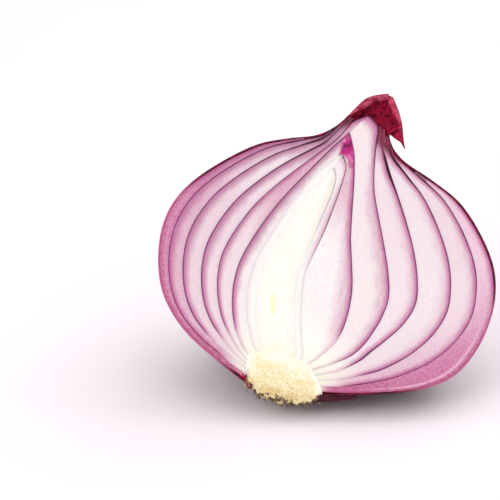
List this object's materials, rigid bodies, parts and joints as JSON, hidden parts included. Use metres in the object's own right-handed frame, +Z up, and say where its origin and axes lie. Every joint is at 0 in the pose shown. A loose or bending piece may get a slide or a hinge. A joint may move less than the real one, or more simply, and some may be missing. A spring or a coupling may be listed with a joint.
{
  "type": "halved red onion",
  "caption": "Half of a red onion cut from neck to root, with nested scales, heart, dry skin and root plate, lying back on a small flat spot with its cut face forward.",
  "frame": {"origin": "point on the flat spot under the rounded back, where the half rests on a surface", "axes": "+Z up from the surface, the cut face looks towards -Y and up by 30 degrees, +X to the right of someone facing the cut face, neck leaning to +X"},
  "size_m": [0.0815, 0.0537, 0.0699],
  "materials": {
    "dry_skin": "thin, papery and glossy, dark crimson with fine lengthwise veins",
    "scale": "moist flesh, white to lilac, with a purple-pink skin on its outer side",
    "heart": "moist flesh, cream white",
    "shoot": "moist, pale yellow green",
    "root_plate": "dry and fibrous, tan, with dark broken roots"
  },
  "bodies": {
    "root": {"dry_skin": "dry_skin", "scale_1": "scale", "scale_2": "scale", "scale_3": "scale", "scale_4": "scale", "scale_5": "scale", "scale_6": "scale", "heart_leaf": "heart", "heart_bud": "heart", "green_shoot": "shoot", "root_plate": "root_plate"}
  },
  "joints": []
}
